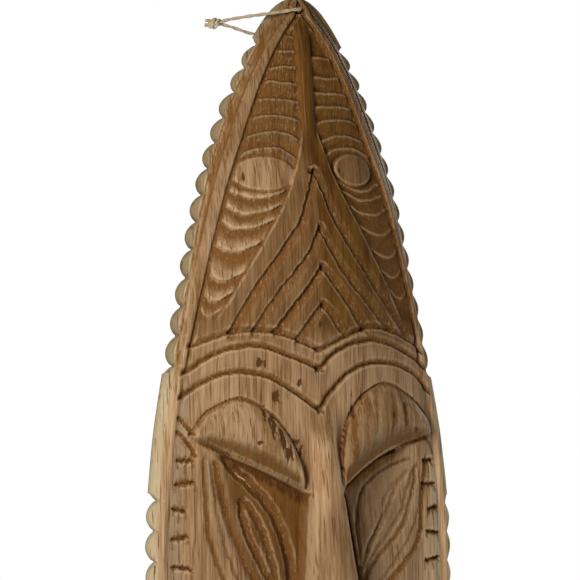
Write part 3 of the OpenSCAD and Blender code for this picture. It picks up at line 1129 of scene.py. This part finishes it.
class Shader:
    """One principled material, whose nodes are added with short calls."""

    def __init__(self, name):
        self.material = bpy.data.materials.new(name)
        self.material.use_nodes = True
        self.tree = self.material.node_tree
        self.tree.nodes.clear()
        self.surface = self.node("ShaderNodeBsdfPrincipled")
        out = self.node("ShaderNodeOutputMaterial")
        self.tree.links.new(self.surface.outputs["BSDF"], out.inputs["Surface"])

    def node(self, kind, inputs=None, **settings):
        """A new node, with values or links for its inputs and with its settings."""
        node = self.tree.nodes.new(kind)
        for key, value in settings.items():
            setattr(node, key, value)
        for key, value in (inputs or {}).items():
            self.put(node.inputs[key], value)
        return node

    def put(self, socket, value):
        if isinstance(value, bpy.types.NodeSocket):
            self.tree.links.new(value, socket)
        else:
            socket.default_value = value

    def give(self, name, value):
        """Set an input of the surface, or link it to a node."""
        self.put(self.surface.inputs[name], value)

    def calc(self, operation, a, b, clamp=False):
        node = self.node("ShaderNodeMath", {0: a, 1: b}, operation=operation, use_clamp=clamp)
        return node.outputs[0]

    def plus(self, a, b):
        return self.calc("ADD", a, b)

    def times(self, a, b):
        return self.calc("MULTIPLY", a, b)

    def total(self, first, *others):
        """The sum of some values, each with its weight."""
        out = self.times(*first)
        for term in others:
            out = self.plus(out, self.times(*term))
        return out

    def noise(self, place, scale, detail=2.0, roughness=0.5, distortion=0.0):
        """Noise over a place, with a scale of its own along each axis."""
        scaled = self.node("ShaderNodeVectorMath", {0: place, 1: scale}, operation="MULTIPLY")
        inputs = {"Vector": scaled.outputs[0], "Scale": 1.0, "Detail": detail,
                  "Roughness": roughness, "Distortion": distortion}
        return self.node("ShaderNodeTexNoise", inputs).outputs["Fac"]

    def between(self, value, low, high, to_low=0.0, to_high=1.0):
        inputs = {"Value": value, "From Min": low, "From Max": high, "To Min": to_low,
                  "To Max": to_high}
        node = self.node("ShaderNodeMapRange", inputs, clamp=True, interpolation_type="SMOOTHSTEP")
        return node.outputs["Result"]

    def mix(self, factor, a, b, blend="MIX"):
        # the Mix node has a set of sockets for each data type, and 6, 7 and 2 are its colours
        inputs = {0: factor, 6: a, 7: b}
        return self.node("ShaderNodeMix", inputs, data_type="RGBA", blend_type=blend).outputs[2]

    def attribute(self, name, output="Fac"):
        return self.node("ShaderNodeAttribute", attribute_name=name).outputs[output]

    def bump(self, height, distance):
        node = self.node("ShaderNodeBump", {"Height": height, "Distance": distance})
        self.give("Normal", node.outputs["Normal"])


def rgb(r, g, b):
    return (r, g, b, 1.0)


PALE_WOOD = rgb(0.57, 0.385, 0.23)
WARM_WOOD = rgb(0.31, 0.17, 0.07)
GREY_WOOD = rgb(0.43, 0.355, 0.22)
PAINTED_SHADE_WOOD = rgb(0.30, 0.265, 0.19)
WORN_AND_HIGHLIGHT_WOOD = rgb(0.62, 0.44, 0.26)
WASH_AND_SHADE_TINT = rgb(0.25, 0.17, 0.045)
STAIN = rgb(0.16, 0.067, 0.014)
DEEP_STAIN_AND_SHADE = rgb(0.06, 0.021, 0.005)
BARK = rgb(0.08, 0.03, 0.008)
DARK_FIBRE = rgb(0.28, 0.21, 0.12)
PALE_FIBRE = rgb(0.72, 0.61, 0.42)
GREEN_FIBRE = rgb(0.36, 0.30, 0.13)


def bare_wood(m, bands, grain, fine):
    """Pale open-grained wood, greyer on the rim, duller where painted shade is marked, and darkened by
    a brown tint that is partly painted shade.
    """
    tone = m.total((bands, 0.35), (grain, 0.3), (fine, 0.35))
    colour = m.mix(m.between(tone, 0.38, 0.62), WARM_WOOD, PALE_WOOD)
    colour = m.mix(m.times(m.attribute("edge"), 0.8), colour, GREY_WOOD)
    # painted shade: dull wood where it is marked
    colour = m.mix(m.times(m.attribute("shade_grey"), 0.8), colour, PAINTED_SHADE_WOOD)
    return m.mix(m.attribute("wash"), colour, WASH_AND_SHADE_TINT, blend="MULTIPLY")


def wood_material():
    """The wood, paler on its lips from wear and painted highlight, brown where the gouge went in,
    darker in its hollows as painted shade, and with dark flecks.
    """
    m = Shader("carved_wood")
    place = m.node("ShaderNodeTexCoord").outputs["Object"]
    bands = m.noise(place, (95, 95, 5), detail=3, distortion=0.6)
    grain = m.noise(place, (480, 150, 16), detail=3)
    fine = m.noise(place, (1000, 300, 45), detail=3)
    pores = m.between(m.noise(place, (1000, 250, 38)), 0.58, 0.7)
    patches = m.between(m.noise(place, (450, 450, 75), detail=3), 0.35, 0.65)
    speck = m.noise(place, (900, 900, 400))
    flecks = m.noise(place, (700, 700, 170))
    colour = bare_wood(m, bands, grain, fine)

    hollow = m.attribute("hollow")
    patchy = m.plus(m.between(speck, 0.35, 0.65, 0.0, 0.3), m.times(patches, 0.4))
    stain = m.times(m.attribute("stain"), m.plus(patchy, 0.7))
    # painted shade: the more sunk the surface, the darker
    recess_shade = m.between(hollow, 0.2, 2.2, 0.0, 0.5)
    stain_and_shade = m.calc("MAXIMUM", m.between(stain, 0.05, 0.95), recess_shade)
    colour = m.mix(stain_and_shade, colour, STAIN)
    # dark stain, darkest where sunk: stain and painted shade
    deep = m.times(m.between(stain, 0.75, 1.35), m.between(hollow, 0.3, 1.6))
    colour = m.mix(m.times(deep, 0.8), colour, DEEP_STAIN_AND_SHADE)
    torn = m.attribute("torn")
    fibres = m.times(m.between(speck, 0.55, 0.75), m.times(torn, 0.34))
    # paler on convex lips, wear and painted highlight, and pale torn fibres
    worn_and_highlight = m.calc("MAXIMUM", m.between(m.attribute("lip"), 0.12, 0.6, 0.0, 0.3), fibres)
    colour = m.mix(worn_and_highlight, colour, WORN_AND_HIGHLIGHT_WOOD)
    colour = m.mix(m.times(pores, 0.85), colour, STAIN)
    knot = m.plus(m.attribute("knot"), m.times(m.calc("SUBTRACT", flecks, 0.5), 1.7))
    colour = m.mix(m.times(m.between(knot, 0.54, 0.7), 0.97), colour, BARK)
    m.give("Base Color", colour)

    rough = m.total((stain_and_shade, 0.25), (fine, 0.2))
    m.give("Roughness", m.calc("ADD", rough, 0.45, clamp=True))
    m.give("Specular IOR Level", 0.12)
    relief = m.total((fine, 0.6), (grain, 0.5), (pores, -0.6), (m.times(speck, torn), 1.5))
    m.bump(relief, 0.0005)
    return m.material


def twine_material():
    """Dry straw-coloured bast fibre, streaked along each ply, with greenish blotches."""
    m = Shader("twine")
    fibre = m.attribute("fibre", "Vector")
    streaks = m.noise(fibre, (4.5, 4.5, 0.35), detail=3, roughness=0.6)
    blotch = m.noise(fibre, (0.4, 0.4, 0.25), detail=1)
    colour = m.mix(m.between(streaks, 0.35, 0.66), DARK_FIBRE, PALE_FIBRE)
    colour = m.mix(m.between(blotch, 0.45, 0.75, 0.0, 0.35), colour, GREEN_FIBRE)
    m.give("Base Color", colour)
    m.give("Roughness", 0.82)
    m.give("Specular IOR Level", 0.3)
    m.give("Sheen Weight", 0.15)
    m.give("Sheen Roughness", 0.5)
    m.bump(streaks, 0.0004)
    return m.material


def floor_material():
    m = Shader("pale_floor")
    place = m.node("ShaderNodeTexCoord").outputs["Object"]
    colour = m.mix(m.noise(place, (5, 5, 5)), rgb(0.80, 0.80, 0.79), rgb(0.85, 0.85, 0.84))
    m.give("Base Color", colour)
    m.give("Roughness", 0.9)
    m.give("Emission Color", rgb(1, 1, 1))
    m.give("Emission Strength", 0.25)
    return m.material


# ------------ studio

FLOOR_DROP = 70.0
FLOOR_HALF = 650.0


def add_floor():
    z = BOTTOM - FLOOR_DROP
    h = FLOOR_HALF
    corners = [[-h, -h, z], [h, -h, z], [h, h, z], [-h, h, z]]
    floor = make_object("floor", corners, [[0, 1, 2, 3]], smooth=False)
    floor.data.materials.append(floor_material())


def add_area_light(name, place, aim, size, power, colour):
    data = bpy.data.lights.new(name, "AREA")
    data.shape = "DISK"
    data.size = size
    data.energy = power
    data.color = colour
    light = bpy.data.objects.new(name, data)
    light.location = place
    light.rotation_euler = (Vector(aim) - Vector(place)).to_track_quat("-Z", "Y").to_euler()
    light.visible_camera = False
    bpy.context.scene.collection.objects.link(light)


def add_lights():
    face = (0, -0.03, -0.22)
    add_area_light("key", (-0.52, -0.48, -0.05), face, 0.26, 5.0, (1.0, 0.96, 0.9))
    add_area_light("fill", (0.9, -1.3, 0.35), face, 1.2, 0.7, (0.93, 0.96, 1.0))
    add_area_light("side", (0.72, -0.28, -0.5), face, 0.3, 1.7, (1.0, 1.0, 0.97))
    add_area_light("back", (1.3, 0.85, 0.5), face, 0.8, 8.0, (0.96, 0.98, 1.0))


def background(tree, colour, strength):
    node = tree.nodes.new("ShaderNodeBackground")
    node.inputs["Color"].default_value = colour
    node.inputs["Strength"].default_value = strength
    return node.outputs[0]


def add_world():
    """White to look at, and a weaker even light on the object."""
    world = bpy.data.worlds.new("studio")
    bpy.context.scene.world = world
    world.use_nodes = True
    tree = world.node_tree
    tree.nodes.clear()
    rays = tree.nodes.new("ShaderNodeLightPath")
    mix = tree.nodes.new("ShaderNodeMixShader")
    out = tree.nodes.new("ShaderNodeOutputWorld")
    tree.links.new(rays.outputs["Is Camera Ray"], mix.inputs[0])
    tree.links.new(background(tree, rgb(0.98, 0.99, 1.0), 0.17), mix.inputs[1])
    tree.links.new(background(tree, rgb(1, 1, 1), 1.0), mix.inputs[2])
    tree.links.new(mix.outputs[0], out.inputs["Surface"])


# ------------ assembly

bpy.context.scene.view_settings.view_transform = "Standard"
add_camera()

route = closed_route()
twine = cord_object("twine_loop", twisted(route, TWINE))
knot = add_knot()
fibre = twine_material()
for piece, node in ((twine, "hanging_cord"), (knot, "cord_knot")):
    piece.data.materials.append(fibre)
    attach(piece, "loop")
    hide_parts(node)

mask = mask_mesh()
mask.data.materials.append(wood_material())
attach(mask, "mask")
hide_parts("mask_body")

add_lights()
add_world()
add_floor()
